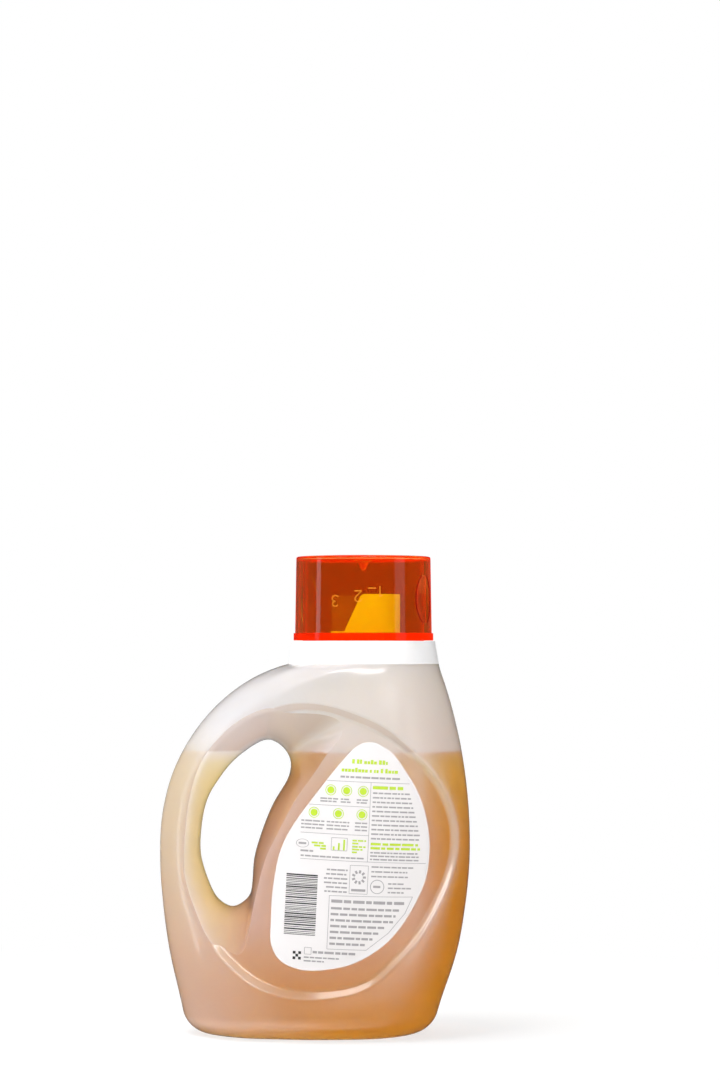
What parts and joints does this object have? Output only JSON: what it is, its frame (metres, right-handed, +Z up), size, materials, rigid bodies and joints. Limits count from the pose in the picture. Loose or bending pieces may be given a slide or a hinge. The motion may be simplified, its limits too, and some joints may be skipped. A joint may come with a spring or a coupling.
{
  "type": "laundry detergent bottle",
  "caption": "Translucent laundry detergent bottle with a through handle, a drop-shaped back label, a yellow pour spout and an orange-red measuring cap that lifts off.",
  "frame": {"origin": "centre of the bounding box's bottom face, on the surface that the bottle stands on", "axes": "+Z up, +X away from the handle towards the pouring side, -Y out of the label side"},
  "size_m": [0.162, 0.0984, 0.2481],
  "materials": {
    "bottle_wall": "frosted translucent",
    "detergent": "clear amber liquid",
    "label": "printed film, satin",
    "collar": "satin",
    "spout": "satin",
    "cap": "clear, tinted"
  },
  "bodies": {
    "bottle_body": {"bottle": "bottle_wall", "detergent": "detergent", "back_label": "label", "transition_collar": "collar", "pour_spout": "spout"},
    "cap": {"measuring_cap": "cap"}
  },
  "joints": [
    {"name": "cap_lift", "type": "slide", "parent": "bottle_body", "child": "cap", "axis": [0, 0, 1], "range_m": [0, 0.08]}
  ]
}
